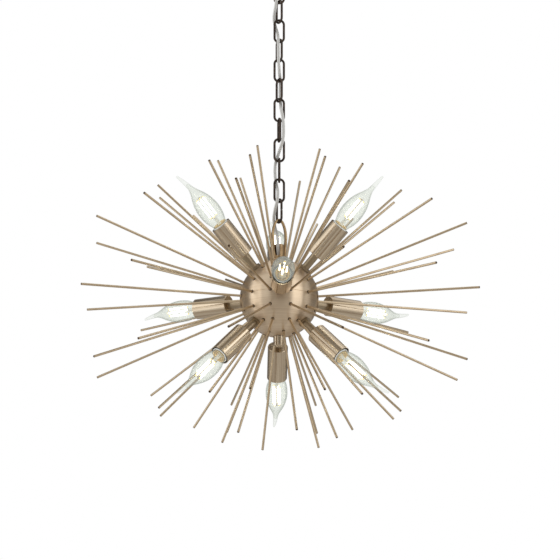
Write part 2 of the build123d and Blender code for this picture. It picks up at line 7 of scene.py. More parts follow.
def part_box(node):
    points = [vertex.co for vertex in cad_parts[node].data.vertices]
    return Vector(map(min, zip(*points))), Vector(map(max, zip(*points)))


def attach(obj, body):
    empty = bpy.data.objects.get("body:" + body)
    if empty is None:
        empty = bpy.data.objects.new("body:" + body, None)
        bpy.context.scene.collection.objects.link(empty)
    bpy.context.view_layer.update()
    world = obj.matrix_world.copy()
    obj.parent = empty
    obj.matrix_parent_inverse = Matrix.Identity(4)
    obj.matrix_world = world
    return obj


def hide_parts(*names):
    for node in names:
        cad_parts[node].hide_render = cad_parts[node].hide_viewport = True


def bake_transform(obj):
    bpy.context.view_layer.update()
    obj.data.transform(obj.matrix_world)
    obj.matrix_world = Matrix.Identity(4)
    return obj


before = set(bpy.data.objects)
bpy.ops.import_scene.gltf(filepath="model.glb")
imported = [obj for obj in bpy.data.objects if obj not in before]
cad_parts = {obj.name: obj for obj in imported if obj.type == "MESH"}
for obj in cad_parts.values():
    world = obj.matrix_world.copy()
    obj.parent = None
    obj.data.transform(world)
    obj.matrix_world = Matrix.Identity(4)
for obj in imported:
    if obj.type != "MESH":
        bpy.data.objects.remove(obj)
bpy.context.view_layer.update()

MM = 0.001

# Ball, lamps and rods, as the solids have them: angles in degrees, bare lengths in millimetres.
# Lamps and rods stand in rings that repeat by thirds of a turn.
THIRDS = (0, 120, 240)
BALL = Vector((0, 0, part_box("upper_shell")[0][2]))
BALL_RADIUS = 60.0
LAMP_RINGS = ((0, 0), (44, 60), (-44, 60))
LAMPS = tuple((first + third, elevation) for elevation, first in LAMP_RINGS for third in THIRDS)
ROD_REACHES = {"long_rods": 307 * MM, "middle_rods": 254 * MM, "short_rods": 236 * MM}
ROD_RINGS = (
    (0, 0, (15, 45)), (19.5, 2, (16, 46)), (-21, 0, (16, 46)),
    (42, 62, (23, 43)), (-44, 62, (23, 43)), (66, 68, (30,)), (-68, 45, (30,)),
)
BULB_SEAT = 139.6

# Dark ring round each rod where it enters the ball: painted shade at the edge of the rod's hole
SHADE_RING_HOLE = 1.84
SHADE_RING_RIM = 2.75
SHADE_RING_CHAMFER = 0.4
SHADE_RING_BOTTOM = BALL_RADIUS - 0.6
SHADE_RING_TOP = BALL_RADIUS + 0.35
SHADE_RING_SIDES = 12

# Chain: height of the crown that each link hangs on, from the rose down to the ball
LINK_COUNT = 12
TOP_CROWN = -52.0 * MM
LOWEST_CROWN = -445.3 * MM
LINK_PITCH = 32.8 * MM

# Flex: the route's points as x, y and height above the ball's centre, in millimetres
FLEX_ROUTE = (
    (-18.0, -12.0, 543.0), (-18.0, -12.0, 535.5), (-17.4, -11.7, 527.0), (-14.6, -10.5, 516.5),
    (-10.6, -8.8, 505.5), (-6.6, -7.3, 495.0), (-4.6, -6.6, 485.0), (-5.4, -5.0, 475.0),
    (-7.8, -1.0, 464.0), (-8.4, 4.2, 454.0), (-5.4, 6.0, 443.0), (-2.4, 1.2, 431.5),
    (-1.8, -5.2, 421.5), (-1.8, -7.0, 410.5), (-1.7, -6.4, 398.5), (-1.6, -6.8, 386.5),
    (-0.6, -5.0, 375.5), (0.2, 0.4, 366.0), (1.6, 5.6, 356.5), (2.0, 6.8, 345.5),
    (1.5, 6.4, 334.0), (1.6, 6.2, 324.5), (2.4, 4.4, 316.0), (2.3, 0.0, 308.0),
    (3.5, -4.4, 300.0), (5.2, -5.8, 290.5), (6.4, -6.3, 279.5), (6.8, -6.2, 268.0),
    (6.4, -6.0, 257.0), (4.0, -4.6, 246.5), (0.7, 0.0, 237.5), (-2.3, 4.6, 228.5),
    (-5.8, 6.0, 218.5), (-6.6, 5.9, 206.5), (-6.1, 5.8, 194.0), (-4.2, 4.8, 182.5),
    (-2.3, 0.0, 173.0), (-2.3, -4.6, 164.0), (-3.0, -6.4, 155.5), (-4.6, -6.0, 147.5),
    (-6.6, -2.4, 140.5), (-7.8, 2.4, 133.5), (-8.4, 6.2, 126.0), (-7.0, 7.2, 118.0),
    (-5.2, 4.6, 110.0), (-3.6, -0.4, 102.5), (-2.4, -6.2, 95.5), (-2.3, -10.0, 88.5),
    (-2.5, -10.4, 82.0), (-2.3, -7.8, 75.5), (-1.2, -2.8, 69.5), (-0.4, -0.9, 62.0),
    (0.0, -0.6, 53.5), (0.0, -3.2, 45.0), (0.0, -7.4, 36.5), (0.0, -11.5, 27.5),
    (0.0, -13.6, 18.5), (0.0, -13.6, 9.5),
)
FLEX_STEPS = 6
FLEX_CORE = 1.25 * MM
FLEX_SPACING = 1.15 * MM
FLEX_SIDES = 16
FLEX_WAIST = 0.62
FLEX_WAIST_SLOPE = 2.6
FLEX_WIDE = Vector((1, 0.25, 0))
FLEX_UV = "along"

# Bulb, in millimetres above the cap's top: the glass as (height, outside radius)
GLASS_PROFILE = (
    (0.0, 8.4), (5.2, 10.6), (10.6, 12.5), (18.6, 15.3), (29.5, 17.0), (40.2, 16.7), (50.8, 14.7),
    (60.0, 11.4), (69.0, 7.2), (77.0, 4.4), (86.0, 3.4), (95.4, 2.6), (104.0, 1.7),
)
GLASS_STEPS = 4
GLASS_WALL = 0.9
HOLLOW_TOP = 84.0
HOLLOW_END_RADIUS = 0.4
HOLLOW_END_RISE = 2.0
TIP_BEND_START = 60.0
TIP_BEND_REACH = 44.0
TIP_BEND = 8.4
TIP_ROUNDING = ((0.75, 0.8), (0.3, 1.2))
BULB_SIDES = 32
STEM_SIDES = 20

# Turn of each bulb about its own axis (degrees), which points its bent tip as in the photograph
TIP_TURNS = (300, 55, 205, 220, 20, 280, 95, 75, 30)

# The bulb's other turned pieces as (radius, height)
CAP_CONTACT = ((1.6, -26.2), (2.4, -25.8), (2.4, -25.0), (3.6, -24.6), (5.4, -23.4), (6.3, -22.2))
CAP_THREAD = ((6.2, 0.0), (6.5, 0.5), (6.9, 1.1), (6.9, 1.6), (6.5, 2.2))
CAP_THREAD_START = -21.4
CAP_THREAD_PITCH = 2.7
CAP_THREAD_TURNS = 6
CAP_SKIRT = (
    (6.6, -4.8), (8.3, -4.4), (8.5, -4.1), (8.5, -0.3), (8.2, 0.0), (7.3, 0.0), (7.0, -0.6),
    (2.0, -0.8),
)
STEM_PROFILE = (
    (6.6, 0.4), (6.2, 1.4), (4.2, 4.4), (2.9, 8.6), (2.4, 13.0), (2.3, 17.6), (2.9, 19.6),
    (2.4, 21.0), (0.8, 21.6),
)
FLARE_OUTLINE = (
    (6.7, 0.4), (7.25, 0.6), (9.3, 4.9), (10.5, 8.3), (10.3, 8.5), (8.9, 5.0), (6.9, 1.3),
    (6.7, 0.4),
)

# Filament: four lit sticks in a circle, with beads at their ends, on wires from the stem
FILAMENT_START = 22.0
FILAMENT_LENGTH = 34.0
FILAMENT_RADIUS = 1.0
FILAMENT_CIRCLE = 5.3
FILAMENT_ANGLES = (45, 135, 225, 315)
BEAD_INSIDE = 1.4
BEAD_OUTSIDE = 0.6
BEAD_RADIUS = 1.15 * FILAMENT_RADIUS
WIRE_RADIUS = 0.3
WIRE_JOINT = 0.2
WIRE_DROP = 2.6
WIRE_RISE = 2.2
WIRE_GATHER = 0.3
MAST_RADIUS = 0.28
MAST_DROP = 1.0
MAST_RISE = 2.6
STRUT_SIDES = 10
STRUT_END_RADIUS = 0.5
STRUT_END_LENGTH = 0.6

# Lampholder: closed outlines as (radius, distance from the ball's centre)
HOLDER_OUTLINES = {
    # The body's thin walls against the sleeve's inside and round the collar are black sheets of
    # painted shade in the gaps; the rest is the black lampholder
    "body": (
        (6.2, 110.9), (6.2, 103.8), (9.0, 103.8), (9.0, 110.8), (14.3, 110.8), (14.3, 114.4),
        (12.6, 114.8), (12.6, 132.2), (14.4, 132.6), (14.4, 144.2), (14.1, 144.5), (13.9, 144.5),
        (13.7, 144.2), (13.7, 137.0), (13.0, 137.0), (13.0, 144.4), (12.9, 144.5), (12.6, 144.5),
        (12.6, 134.8), (7.4, 134.6), (7.4, 113.4), (6.2, 110.9),
    ),
    "collar": (
        (11.35, 140.8), (11.35, 145.6), (11.7, 146.2), (12.4, 146.2), (12.55, 145.9),
        (12.55, 140.8), (11.35, 140.8),
    ),
    "shell": (
        (9.05, 135.2), (9.05, 138.6), (10.9, 143.0), (11.1, 144.4), (11.25, 144.4), (11.1, 142.8),
        (9.3, 138.4), (9.3, 135.2), (9.05, 135.2),
    ),
}
HOLDER_SIDES = 40

# Finish and record's slot of each piece of a lamp
LAMP_LOOKS = {
    "glass": ("glass", "bulb_glass"), "cap": ("brass", "loop_brass"),
    "stem": ("stem", "bulb_glass"), "flare": ("flare", "loop_brass"),
    "sticks": ("glow", "bulb_glass"), "beads": ("bead", "bulb_glass"),
    "wires": ("loop", "loop_brass"), "body": ("holder", "black_plastic"),
    "collar": ("collar", "holder_plastic"), "shell": ("brass", "loop_brass"),
}

# Finish of each solid that is shown as it is, apart from links and sleeves
NODE_FINISHES = {
    "rose_cup": "ball", "upper_shell": "ball", "lower_shell": "ball", "end_nut": "upright",
    "ceiling_bracket": "zinc", "stem_nut": "zinc", "ball_pipe": "zinc", "rod_nuts": "zinc",
    "rose_loop": "dark", "arm_nuts": "arms", "top_loop": "loop", "loop_seat": "loop",
    "terminal_block": "white", "wire_junction": "white", "cable_grommet": "black",
    "lamp_leads": "lead", "lamp_arms": "arms", "long_rods": "long_rods",
    "middle_rods": "middle_rods", "short_rods": "short_rods",
}

# Colours: the darker and the lighter tone of a finish
BALL_BRONZE = ((0.6, 0.46, 0.315), (0.82, 0.675, 0.505))
SLEEVE_BRONZE = ((0.38, 0.285, 0.19), (0.8, 0.69, 0.53))
OILED_BRONZE = ((0.06, 0.046, 0.038), (0.17, 0.122, 0.09))
ROD_GOLD = ((0.54, 0.42, 0.275), (0.7, 0.57, 0.4))
LOOP_BRASS = ((0.34, 0.225, 0.12), (0.62, 0.45, 0.26))
CAP_BRASS = ((0.55, 0.34, 0.1), (0.86, 0.62, 0.25))
ZINC_GREY = ((0.5, 0.5, 0.49), (0.74, 0.74, 0.71))
SHEATH_GREY = ((0.46, 0.45, 0.43), (0.8, 0.8, 0.78))
GLASS_SKIN = ((0.74, 0.76, 0.73), (0.84, 0.86, 0.83))
FLOOR_WHITE = ((0.86, 0.86, 0.85), (0.9, 0.9, 0.89))
WHITE_PLASTIC = ((0.78, 0.77, 0.74), (0.86, 0.85, 0.82))
COLLAR_PLASTIC = ((0.74, 0.74, 0.7), (0.84, 0.84, 0.8))
BLACK_PLASTIC = ((0.012, 0.011, 0.011), (0.02, 0.019, 0.018))
HOLDER_BLACK_AND_SHADE = ((0.01, 0.008, 0.008), (0.016, 0.013, 0.012))
LEAD_PLASTIC = ((0.7, 0.68, 0.62), (0.8, 0.78, 0.72))
FLARE_GOLD = ((0.72, 0.5, 0.2), (0.86, 0.64, 0.3))
STEM_GLASS = ((0.8, 0.8, 0.76), (0.88, 0.88, 0.84))

# Single colours
ROD_CUT = (0.12, 0.08, 0.05)
GLASS_GLOW = (1.0, 0.985, 0.95, 1.0)
GLASS_MIDDLE = (0.9, 0.91, 0.893, 1.0)
GLASS_RIM = (0.44, 0.465, 0.43, 1.0)
STICK_LIGHT = (1.0, 0.95, 0.84)
BEAD_LIGHT = (1.0, 0.72, 0.2)
FLOOR_IN_METAL = (0.5, 0.48, 0.455)
WORLD_WHITE = (1.0, 1.0, 1.0)
WORLD_DIFFUSE = (0.92, 0.92, 0.92)

# Rods: the dark of a cut tip starts and is full this far before the end.
# Arms are a deeper gold, and show no cut, since it would be beyond their ends in the sleeves.
CUT_START = 1.2 * MM
CUT_FULL = 0.4 * MM
ARM_DEPTH = 0.6
BEYOND_ARMS = 180 * MM

# Camera, worked out from the rods and sleeves in the photograph
CAMERA_DISTANCE = 3.12
CAMERA_BELOW = math.radians(14.2)
CAMERA_TURN = math.radians(-1.9)
CAMERA_LENS = 131.7
CAMERA_SENSOR = 36.0
CAMERA_SHIFT = (0.0014, 0.0332)

# Surroundings that the metal shows: from front (0) to back (1), and from below (0) to above (1)
STUDIO_ROUND = (
    (0.0, (0.24, 0.23, 0.215)), (0.1, (0.34, 0.33, 0.315)), (0.22, (0.95, 0.95, 0.94)),
    (0.33, (0.98, 0.98, 0.98)), (0.4, (0.5, 0.49, 0.47)), (0.47, (0.8, 0.8, 0.79)),
    (0.52, (0.7, 0.7, 0.69)), (0.6, (0.2, 0.19, 0.18)), (1.0, (0.2, 0.19, 0.18)),
)
STUDIO_RISE = (
    (0.0, (0.55, 0.54, 0.52)), (0.45, (0.95, 0.95, 0.95)), (0.7, (1.0, 1.0, 1.0)),
    (1.0, (0.8, 0.8, 0.8)),
)

# Soft lamps: name, place from the ball, size (metres) and power (watts)
SOFT_LAMPS = (
    ("left", (-1.97, -0.5, 0.1), (1.4, 2.6), 8.0),
    ("right", (1.62, -1.2, 0.1), (1.2, 2.6), 7.0),
    ("top", (0.2, 0.4, 1.4), (1.6, 1.6), 6.0),
)

# Round floor: depth below the ball and radius (metres)
FLOOR_DROP = 1.3
FLOOR_RADIUS = 8.0
FLOOR_SIDES = 96

# Meshes: corners closer than this are one, and flatter edges than these are shaded smooth
SAME_POINT = 1e-6
TURNED_SMOOTH = math.radians(40)
FLEX_SMOOTH = math.radians(50)


# Shader maths


class Wire:
    """Output of a shader node that takes part in plain expressions."""

    def __init__(self, tree, socket):
        self.tree = tree
        self.socket = socket

    def maths(self, operation, first, second):
        """Math node on wires or numbers."""
        node = self.tree.nodes.new("ShaderNodeMath")
        node.operation = operation
        for slot, value in zip(node.inputs, (first, second)):
            plug(self.tree, slot, value)
        return Wire(self.tree, node.outputs[0])

    def __add__(self, other):
        return self.maths("ADD", self, other)

    def __radd__(self, other):
        return self.maths("ADD", other, self)

    def __mul__(self, other):
        return self.maths("MULTIPLY", self, other)

    def __rmul__(self, other):
        return self.maths("MULTIPLY", other, self)

    def __pow__(self, other):
        return self.maths("POWER", self, other)


def plug(tree, slot, value):
    """Links a wire to a socket, or sets the socket to a plain value."""
    if isinstance(value, Wire):
        tree.links.new(value.socket, slot)
    else:
        slot.default_value = value


class Shading:
    """Node tree of a material or of the world."""

    def __init__(self, tree):
        self.tree = tree

    def node(self, kind, settings=None, values=None, output=0):
        """Adds a node: its settings first, then the values or links of its sockets."""
        node = self.tree.nodes.new("ShaderNode" + kind)
        for key, value in (settings or {}).items():
            if key == "stops":
                while len(node.color_ramp.elements) < len(value):
                    node.color_ramp.elements.new(1.0)
                for element, (place, colour) in zip(node.color_ramp.elements, value):
                    element.position = place
                    element.color = (*colour, 1.0)
            else:
                setattr(node, key, value)
        for key, value in (values or {}).items():
            plug(self.tree, node.inputs[key], value)
        return Wire(self.tree, node.outputs[output])

    def noise(self, vector, scale=1.0, detail=2.0, rough=0.5):
        """Grey noise on a vector."""
        values = {"Vector": vector, "Scale": scale, "Detail": detail, "Roughness": rough}
        return self.node("TexNoise", values=values)

    def stretched(self, vector, x, y, z):
        """Vector with a scale for each axis."""
        return self.node("Mapping", values={"Vector": vector, "Scale": (x, y, z)})

    def spread(self, value, low, high):
        """Stretches the part of a value between low and high to 0 to 1."""
        values = {"Value": value, "From Min": low, "From Max": high}
        return self.node("MapRange", {"clamp": True}, values)

    def mix(self, factor, first, second, blend="MIX"):
        """Mixes two colours, each a wire or its red, green and blue."""
        values = {"Factor": factor}
        for socket, colour in ((6, first), (7, second)):
            values[socket] = colour if isinstance(colour, Wire) else (*colour, 1.0)
        return self.node("Mix", {"data_type": "RGBA", "blend_type": blend}, values, output=2)

    def seen_by(self, kind):
        """1 for rays of a kind, such as Camera or Glossy, and 0 for all others."""
        return self.node("LightPath", output=f"Is {kind} Ray")


class Finish(Shading):
    """Material with one Principled shader."""

    def __init__(self, name, **fixed):
        self.material = bpy.data.materials.new(name)
        self.material.use_nodes = True
        super().__init__(self.material.node_tree)
        self.shader = self.tree.nodes["Principled BSDF"]
        self.place = self.node("TexCoord", output="Object")
        self.put(**fixed)

    def put(self, **values):
        """Sets sockets of the shader; underscores stand for spaces."""
        for key, value in values.items():
            plug(self.tree, self.shader.inputs[key.replace("_", " ")], value)

    def away(self):
        """Vector from the ball's centre."""
        return self.node("VectorMath", {"operation": "SUBTRACT"}, {0: self.place, 1: tuple(BALL)})

    def direction(self):
        """Direction from the ball's centre, so that a pattern runs along each rod."""
        return self.node("VectorMath", {"operation": "NORMALIZE"}, {0: self.away()})

    def reach(self):
        """Distance from the ball's centre."""
        return self.node("VectorMath", {"operation": "LENGTH"}, {0: self.away()}, output="Value")

    def bump(self, height, strength, distance=0.1 * MM):
        """Fine relief from a grey pattern."""
        values = {"Height": height, "Strength": strength, "Distance": distance}
        self.put(Normal=self.node("Bump", values=values))


# Finishes


def brushed_ball():
    """Champagne bronze, brushed round the vertical axis."""
    finish = Finish("champagne_bronze_brushed_round", Metallic=1.0,
                    Anisotropic=0.95, Anisotropic_Rotation=0.25)
    lines = finish.noise(finish.stretched(finish.place, 14, 14, 2300), detail=3.0, rough=0.6)
    bands = finish.noise(finish.stretched(finish.place, 9, 9, 160))
    clouds = finish.noise(finish.place, scale=38.0, detail=3.0)
    tone = finish.spread(0.55 * lines + 0.25 * bands + 0.2 * clouds, low=0.34, high=0.66)
    finish.put(Base_Color=finish.mix(tone, *BALL_BRONZE), Roughness=0.27 + 0.1 * lines)
    finish.bump(lines, strength=0.06)
    return finish.material


def drawn_rod(name, tip, depth=1.0):
    """Satin gold of drawn rods: even, with faint long patches, and dark at the cut tips."""
    deep, pale = (tuple(depth * part for part in colour) for colour in ROD_GOLD)
    finish = Finish(name, Metallic=1.0)
    streaks = finish.noise(finish.direction(), scale=300.0)
    patches = finish.noise(finish.place, scale=40.0)
    tone = finish.spread(0.5 * streaks + 0.5 * patches, low=0.3, high=0.7)
    cut = finish.spread(finish.reach(), low=tip - CUT_START, high=tip - CUT_FULL)
    finish.put(Base_Color=finish.mix(cut, finish.mix(tone, deep, pale), ROD_CUT))
    finish.put(Roughness=0.24 + 0.14 * streaks)
    finish.bump(streaks, strength=0.08)
    return finish.material


def brushed_along(name, axes):
    """Champagne bronze, brushed along the Z axis of the given axes, such as a lamp's."""
    finish = Finish(name, Metallic=1.0)
    turn = tuple(axes.inverted().to_euler())
    turned_place = finish.node("Mapping", values={"Vector": finish.place, "Rotation": turn})
    lines = finish.noise(finish.stretched(turned_place, 1900, 1900, 9), rough=0.6)
    bands = finish.noise(finish.stretched(turned_place, 330, 330, 5))
    tone = finish.spread(0.5 * lines + 0.5 * bands, low=0.34, high=0.66)
    finish.put(Base_Color=finish.mix(tone, *SLEEVE_BRONZE), Roughness=0.13 + 0.12 * lines)
    finish.bump(0.6 * lines + 0.4 * bands, strength=0.07)
    return finish.material


def oiled_bronze():
    """Dark brown-black bronze that is rubbed lighter in places."""
    finish = Finish("dark_oiled_bronze", Metallic=0.9)
    wear = finish.noise(finish.place, scale=210.0, detail=5.0, rough=0.6)
    grain = finish.noise(finish.place, scale=1500.0)
    rubbed = finish.spread(wear, low=0.5, high=0.72)
    finish.put(Base_Color=finish.mix(rubbed, *OILED_BRONZE), Roughness=0.34 + 0.16 * grain)
    finish.bump(0.6 * wear + 0.4 * grain, strength=0.2, distance=0.2 * MM)
    return finish.material


def aged_brass():
    """Satin brass of the loop and the filament's wires, with browner clouds."""
    finish = Finish("satin_aged_brass", Metallic=1.0)
    clouds = finish.noise(finish.place, scale=120.0, detail=4.0)
    lines = finish.noise(finish.stretched(finish.place, 300, 300, 1900))
    tone = finish.spread(0.6 * clouds + 0.4 * lines, low=0.36, high=0.64)
    finish.put(Base_Color=finish.mix(tone, *LOOP_BRASS), Roughness=0.26 + 0.14 * lines)
    finish.bump(lines, strength=0.1)
    return finish.material


def bright_brass():
    """Bulb cap and the shell round the bulb's neck."""
    finish = Finish("bright_brass", Metallic=1.0)
    clouds = finish.noise(finish.place, scale=260.0, detail=3.0)
    tone = finish.spread(clouds, low=0.35, high=0.65)
    finish.put(Base_Color=finish.mix(tone, *CAP_BRASS), Roughness=0.2 + 0.2 * clouds)
    return finish.material


def zinc():
    """Zinc plated steel with a faint spangle."""
    finish = Finish("zinc_plated_steel", Metallic=1.0)
    cells = finish.node("TexVoronoi", values={"Vector": finish.place, "Scale": 420.0})
    clouds = finish.noise(finish.place, scale=150.0, detail=3.0)
    finish.put(Base_Color=finish.mix(clouds, *ZINC_GREY), Roughness=0.3 + 0.2 * cells)
    return finish.material


def moulded(name, tones, roughness):
    """Moulded plastic, or pressed glass, with a fine grain."""
    finish = Finish(name, Coat_Weight=0.15, Coat_Roughness=0.3)
    grain = finish.noise(finish.place, scale=1400.0)
    clouds = finish.noise(finish.place, scale=60.0)
    finish.put(Base_Color=finish.mix(clouds, *tones), Roughness=roughness + 0.12 * grain)
    finish.bump(grain, strength=0.12)
    return finish.material


def clear_sheath():
    """Clear twin flex: pale, with darker lines along it: painted shade in the groove between the
    cores, and the cores' edges along its outer sides.
    """
    finish = Finish("clear_twin_sheath", Coat_Weight=0.6, Coat_Roughness=0.12)
    unrolled = finish.node("UVMap", {"uv_map": FLEX_UV})
    across = finish.node("SeparateXYZ", values={"Vector": unrolled})
    edge = finish.node("Math", {"operation": "PINGPONG"}, {0: across, 1: 1 / 8})
    # Dark lines: painted shade at the groove, and the cores' edges at the outer sides
    groove_shade_and_core_lines = finish.spread(edge, low=0.05, high=0.115)
    twist = finish.noise(finish.place, scale=900.0)
    finish.put(Base_Color=finish.mix(groove_shade_and_core_lines, *SHEATH_GREY), Roughness=0.22 + 0.16 * twist)
    return finish.material


def clear_glass():
    """Thin blown glass: see-through, darker at its outline, under a faint glossy, lit skin."""
    finish = Finish("clear_blown_glass", IOR=1.5, Emission_Color=GLASS_GLOW, Emission_Strength=1.7)
    waves = finish.noise(finish.place, scale=70.0)
    outline = finish.node("LayerWeight", values={"Blend": 0.5}, output="Facing") ** 3.0
    finish.put(Base_Color=finish.mix(waves, *GLASS_SKIN), Roughness=0.03 + 0.03 * waves)
    middle = finish.node("BsdfTransparent", values={"Color": GLASS_MIDDLE})
    rim = finish.node("BsdfTransparent", values={"Color": GLASS_RIM})
    wall = finish.node("MixShader", values={0: outline, 1: middle, 2: rim})
    skin = Wire(finish.tree, finish.shader.outputs[0])
    share = 0.022 + 0.01 * waves + 0.04 * outline
    whole = finish.node("MixShader", values={0: share, 1: wall, 2: skin})
    plug(finish.tree, finish.tree.nodes["Material Output"].inputs["Surface"], whole)
    return finish.material


def glowing(name, colour, strength):
    """Lit filament."""
    finish = Finish(name, Emission_Strength=strength, Roughness=0.5)
    speckle = finish.noise(finish.place, scale=1600.0, detail=1.0)
    finish.put(Base_Color=(*colour, 1.0))
    finish.put(Emission_Color=finish.mix(speckle, tuple(0.9 * part for part in colour), colour))
    return finish.material


def make_finishes():
    """All finishes, by the names that NODE_FINISHES and LAMP_LOOKS use."""
    finishes = {
        "ball": brushed_ball(),
        "upright": brushed_along("champagne_bronze_upright", Matrix.Identity(3)),
        "arms": drawn_rod("satin_gold_arms", BEYOND_ARMS, ARM_DEPTH),
        "dark": oiled_bronze(),
        "loop": aged_brass(),
        "brass": bright_brass(),
        "zinc": zinc(),
        "white": moulded("white_moulding", WHITE_PLASTIC, roughness=0.4),
        "collar": moulded("white_neck_ring", COLLAR_PLASTIC, roughness=0.3),
        "black": moulded("black_moulding", BLACK_PLASTIC, roughness=0.45),
        # Black lampholder, and the black walls in its gaps that are painted shade
        "holder": moulded("black_phenolic_and_painted_shade", HOLDER_BLACK_AND_SHADE, roughness=0.4),
        "lead": moulded("lead_sheath", LEAD_PLASTIC, roughness=0.35),
        "flare": moulded("golden_bulb_foot", FLARE_GOLD, roughness=0.4),
        "flex": clear_sheath(),
        "glass": clear_glass(),
        "stem": moulded("pale_glass_stem", STEM_GLASS, roughness=0.1),
        "glow": glowing("lit_filament", STICK_LIGHT, strength=6.5),
        "bead": glowing("lit_filament_end", BEAD_LIGHT, strength=1.1),
    }
    for rods, reach in ROD_REACHES.items():
        finishes[rods] = drawn_rod("satin_gold_" + rods, reach)
    for number, (azimuth, elevation) in enumerate(LAMPS, start=1):
        sleeve = f"sleeve_{number}"
        axes = ray(azimuth, elevation).to_3x3()
        finishes[sleeve] = brushed_along("champagne_bronze_" + sleeve, axes)
    return finishes


# Modelling


def deselect():
    """Leaves edit mode, with nothing selected."""
    if bpy.context.object and bpy.context.object.mode != "OBJECT":
        bpy.ops.object.mode_set(mode="OBJECT")
    bpy.ops.object.select_all(action="DESELECT")


def turned(name, rings, segments, ring_shaped=False):
    """Turned piece, extruded through rings of radius, height and sideways shift (mm)."""
    deselect()
    radius, height, shift = rings[0]
    bpy.ops.mesh.primitive_circle_add(vertices=segments, radius=radius * MM,
                                      fill_type="NOTHING" if ring_shaped else "NGON")
    piece = bpy.context.object
    piece.name = name
    bpy.ops.object.mode_set(mode="EDIT")
    bpy.ops.mesh.select_all(action="SELECT")
    bpy.ops.transform.translate(value=(shift * MM, 0, height * MM))
    for before, after in zip(rings, rings[1:]):
        move = ((after[2] - before[2]) * MM, 0, (after[1] - before[1]) * MM)
        bpy.ops.mesh.extrude_region_move(TRANSFORM_OT_translate={"value": move})
        if after[0] != before[0]:
            grow = after[0] / before[0]
            centre = (after[2] * MM, 0, after[1] * MM)
            bpy.ops.transform.resize(value=(grow, grow, 1), center_override=centre)
    bpy.ops.mesh.select_all(action="SELECT")
    bpy.ops.mesh.remove_doubles(threshold=SAME_POINT)
    bpy.ops.mesh.normals_make_consistent(inside=False)
    bpy.ops.object.mode_set(mode="OBJECT")
    bpy.ops.object.shade_smooth_by_angle(angle=TURNED_SMOOTH)
    return piece


def straight(profile):
    """Rings without a sideways shift, from (radius, height) points."""
    return [(radius, height, 0.0) for radius, height in profile]


def placed(piece, name, matrix):
    """Copy of a piece with its own mesh, moved in the mesh."""
    copy = piece.copy()
    copy.data = piece.data.copy()
    copy.data.transform(matrix)
    copy.name = copy.data.name = name
    bpy.context.scene.collection.objects.link(copy)
    return copy


def joined(name, pieces):
    """Joins pieces to one."""
    deselect()
    for piece in pieces:
        piece.select_set(True)
    bpy.context.view_layer.objects.active = pieces[0]
    bpy.ops.object.join()
    pieces[0].name = pieces[0].data.name = name
    return pieces[0]


def dropped(*pieces):
    """Deletes models that have been copied."""
    for piece in pieces:
        bpy.data.objects.remove(piece)


def painted(piece, material):
    """Gives a piece one material."""
    piece.data.materials.clear()
    piece.data.materials.append(material)
    return piece


def ray(azimuth, elevation, turn=0.0):
    """Frame at the ball's centre with its Z axis along a rod or lamp; azimuth 0 is the front."""
    swing = math.radians(azimuth)
    rise = math.radians(elevation)
    along = Vector((math.sin(swing) * math.cos(rise), -math.cos(swing) * math.cos(rise),
                    math.sin(rise)))
    sideways = Vector((math.cos(swing), math.sin(swing), 0))
    axes = Matrix((sideways, along.cross(sideways), along)).transposed().to_4x4()
    return Matrix.Translation(BALL) @ axes @ Matrix.Rotation(math.radians(turn), 4, "Z")


def smooth_profile(points, steps):
    """Points of a smooth line (Catmull-Rom) through (height, radius) points."""
    line = []
    last = len(points) - 1
    for index in range(last):
        a, b, c, d = (Vector(points[min(max(index + k, 0), last)]) for k in (-1, 0, 1, 2))
        for step in range(steps):
            t = step / steps
            line.append(0.5 * (2 * b + (c - a) * t + (2 * a - 5 * b + 4 * c - d) * t * t
                               + (3 * b - a - 3 * c + d) * t * t * t))
    return [tuple(point) for point in line] + [points[-1]]


def tip_shift(height):
    """How far the bent tip of the glass leans at a height above the cap."""
    return TIP_BEND * (max(height - TIP_BEND_START, 0.0) / TIP_BEND_REACH) ** 2


# Pieces


def flex_points():
    """Points along the flex, read from a NURBS spline on the route."""
    curve = bpy.data.curves.new("flex_route", "CURVE")
    curve.dimensions = "3D"
    curve.resolution_u = FLEX_STEPS
    spline = curve.splines.new("NURBS")
    spline.points.add(len(FLEX_ROUTE) - 1)
    for point, (x, y, height) in zip(spline.points, FLEX_ROUTE):
        point.co = (x * MM, y * MM, BALL.z + height * MM, 1.0)
    spline.order_u = 3
    spline.use_endpoint_u = True
    holder = bpy.data.objects.new("flex_route", curve)
    bpy.context.scene.collection.objects.link(holder)
    bpy.context.view_layer.update()
    evaluated = holder.evaluated_get(bpy.context.evaluated_depsgraph_get())
    mesh = bpy.data.meshes.new_from_object(evaluated)
    points = [vertex.co.copy() for vertex in mesh.vertices]
    bpy.data.objects.remove(holder)
    return points


def twin_section():
    """Outline of a flat twin flex as (across, out) pairs: two round cores with a waist between."""
    outline = []
    for step in range(FLEX_SIDES):
        angle = math.tau * step / FLEX_SIDES
        across = math.cos(angle)
        fullness = min(1.0, FLEX_WAIST_SLOPE * abs(across))
        outline.append((FLEX_CORE * across + math.copysign(FLEX_SPACING, across) * fullness,
                        FLEX_CORE * math.sin(angle) * (FLEX_WAIST + (1 - FLEX_WAIST) * fullness)))
    return outline


